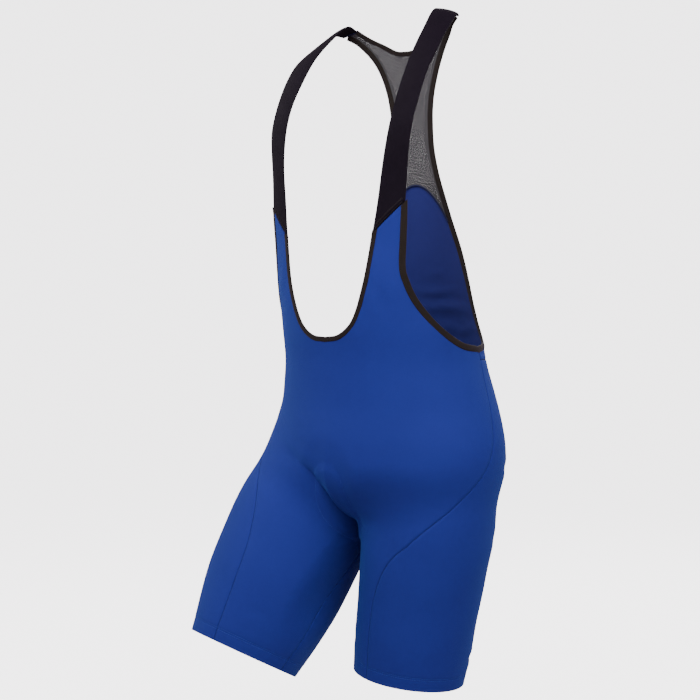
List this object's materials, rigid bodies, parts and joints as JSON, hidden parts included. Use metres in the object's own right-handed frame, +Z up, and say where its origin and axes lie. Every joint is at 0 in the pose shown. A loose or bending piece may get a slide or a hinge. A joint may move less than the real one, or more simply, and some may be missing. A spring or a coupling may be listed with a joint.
{
  "type": "triathlon bib shorts",
  "caption": "Stretch bib shorts filled out as worn, with a scooped bib, elastic shoulder straps, a mesh racer back and thigh-length legs.",
  "frame": {"origin": "shoulder line: the point midway between the tops of the two shoulder straps, where the wearer's shoulders hold the garment up", "axes": "+Z up, -Y is the front that the wearer faces, +X is the wearer's left"},
  "size_m": [0.3812, 0.3131, 0.8648],
  "materials": {
    "stretch_cloth": "soft matt blue stretch knit with a faint sheen",
    "elastic": "matt black woven elastic",
    "back_mesh": "matt grey fine knitted mesh"
  },
  "bodies": {
    "root": {"front": "stretch_cloth", "back_bib": "stretch_cloth", "back_mesh": "back_mesh", "scoop_binding": "elastic", "neck_binding": "elastic", "leg_left": "stretch_cloth", "leg_right": "stretch_cloth", "strap_left": "elastic", "strap_right": "elastic", "armhole_binding_left": "elastic", "armhole_binding_right": "elastic"}
  },
  "joints": []
}
